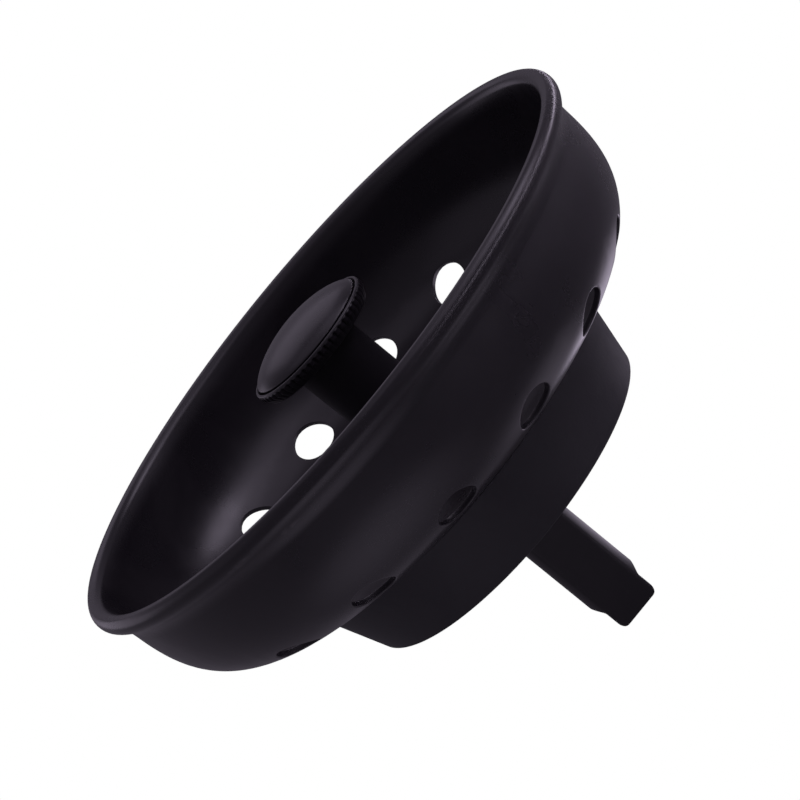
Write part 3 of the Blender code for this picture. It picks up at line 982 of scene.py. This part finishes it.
# level and half-width down the shoulder, from the nose up
SHOULDER = ((NOSE_TOP, NOSE_HALF_WIDTH), (-17.95, 3.12), (-17.3, 3.55), (-17.08, 3.72),
            (-16.9, FULL_WIDTH))
TOP_EDGE, TIP_EDGE = 0.25, 0.28
EDGE_SOFTNESS = 34.0       # a higher power makes a sharper long edge


def ellipse_inset(distance, size):
    """How far a rounded edge has drawn in, at this distance from the face that it ends on."""
    if distance >= size:
        return 0.0
    return size - (size ** 2 - (size - distance) ** 2) ** 0.5


def post_limits(z):
    """Half-width between the narrow sides, half-depth between the flats, and round radius."""
    levels, widths = zip(*SHOULDER)
    above = z - POST_TIP
    width = np.interp(z, levels, widths) - ellipse_inset(above, NOSE_CORNER)
    top = ellipse_inset(POST_TOP - z, TOP_EDGE)
    return width, POST_FLAT - ellipse_inset(above, TIP_EDGE) - top, POST_RADIUS - top


def milled(r, z, angles):
    """The radius round a row of the post, or the plain bore for its inner rows."""
    if r < POST_RADIUS:
        return np.full(len(angles), r)
    width, depth, radius = post_limits(z)
    limits = np.array((np.abs(np.cos(angles)) / width, np.abs(np.sin(angles)) / depth,
                       np.full(len(angles), 1 / radius)))
    return (limits ** EDGE_SOFTNESS).sum(0) ** (-1 / EDGE_SOFTNESS)


print("post narrows mm:", POST_RADIUS * 2, "to", NOSE_HALF_WIDTH * 2)

# %% Post
BORE_END = -5.5


def post_section():
    """The bore, then the outside from the top to the tip, with more rows where it bends."""
    section = [(0.0, BORE_END), (STUD_HOLE, BORE_END), (STUD_HOLE, POST_TOP)]
    levels = [POST_TOP - TOP_EDGE * (1 - cos(a)) for a in np.linspace(0, pi / 2, 6)]
    levels += list(np.linspace(0.2, -16.6, 30))
    levels += list(np.linspace(-16.7, -18.4, 18))
    levels += list(np.linspace(-18.7, POST_TIP + NOSE_CORNER, 7))
    levels += [POST_TIP + NOSE_CORNER * (1 - sin(a)) for a in np.linspace(0.06, pi / 2, 22)]
    section += [(POST_RADIUS, z) for z in levels]
    return section + [(0.0, POST_TIP)]


add_piece("flat_post", *lathe(post_section(), steps=288, shape=milled, closed=False), stem_coat,
          TURNING, "post", "post", sharp_deg=60)

# %% [markdown]
# ## Inside the stack
# A threaded stud ties the knob to the post through the whole stack, a rubber ring seals it at the
# floor, and a nylon bush lines the rubber. They can't be seen when it is assembled, but they hold
# the strainer together, so they get their own shape and finish. The thread is one helix, made by
# a radius that depends on both height and angle.

# %% Stud
STUD_RADIUS, STUD_CHAMFER = 1.7, 0.3
STUD_END, STUD_TOP = edges("centre_stud")[0][2], edges("centre_stud")[1][2]
THREAD_PITCH, THREAD_DEPTH, THREAD_RUN_OUT = 0.7, 0.2, 0.9
STUD_ROWS = 376


def threaded(r, z, angles):
    """The radius round a row of the stud, with a thread that runs out at both ends."""
    turns = z / THREAD_PITCH - angles / (2 * pi)
    ridge = np.abs((turns % 1.0) * 2 - 1)
    blend = smooth(min(z - STUD_END, STUD_TOP - z), 0.0, THREAD_RUN_OUT)
    return r - THREAD_DEPTH * blend * (1 - ridge)


def stud_section():
    tip = STUD_RADIUS - STUD_CHAMFER
    rows = np.linspace(STUD_END + STUD_CHAMFER, STUD_TOP - STUD_CHAMFER, STUD_ROWS)
    section = [(0.0, STUD_END), (tip, STUD_END), *((STUD_RADIUS, z) for z in rows)]
    return section + [(tip, STUD_TOP), (0.0, STUD_TOP)]


add_piece("threaded_stud", *lathe(stud_section(), steps=32, shape=threaded, closed=False),
          plain_steel, TURNING, "stud", "centre_stud")

# %% Seal ring and bush
SEAL_CENTRE, SEAL_RADII = (2.75, 8.275), (0.75, 0.75)
seal_section = arc(SEAL_CENTRE, SEAL_RADII, 0, 345, count=23)    # the lathe closes the circle

add_piece("seal_ring", *lathe(seal_section, steps=96), ring_rubber,
          STILL, "o_ring", "spindle_o_ring")
add_piece("lining_bush", *lathe(ring_section("spacer_bush", soft=0.15), steps=96), nylon,
          STILL, "nylon", "spacer_bush")

# %% [markdown]
# ## The split washer
# The spring washer under the knob's hub is already the right shape in the frame, so it keeps
# that mesh. It only takes the steel finish and a small bevel on its cut edges.

# %% Split washer
lock_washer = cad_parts["lock_washer"]
lock_washer.data.materials.clear()
lock_washer.data.materials.append(plain_steel)
soft_edge = lock_washer.modifiers.new("broken edges", "BEVEL")
soft_edge.width, soft_edge.segments = 0.05 * MM, 2
print("split washer keeps its frame mesh:", len(lock_washer.data.polygons), "faces")
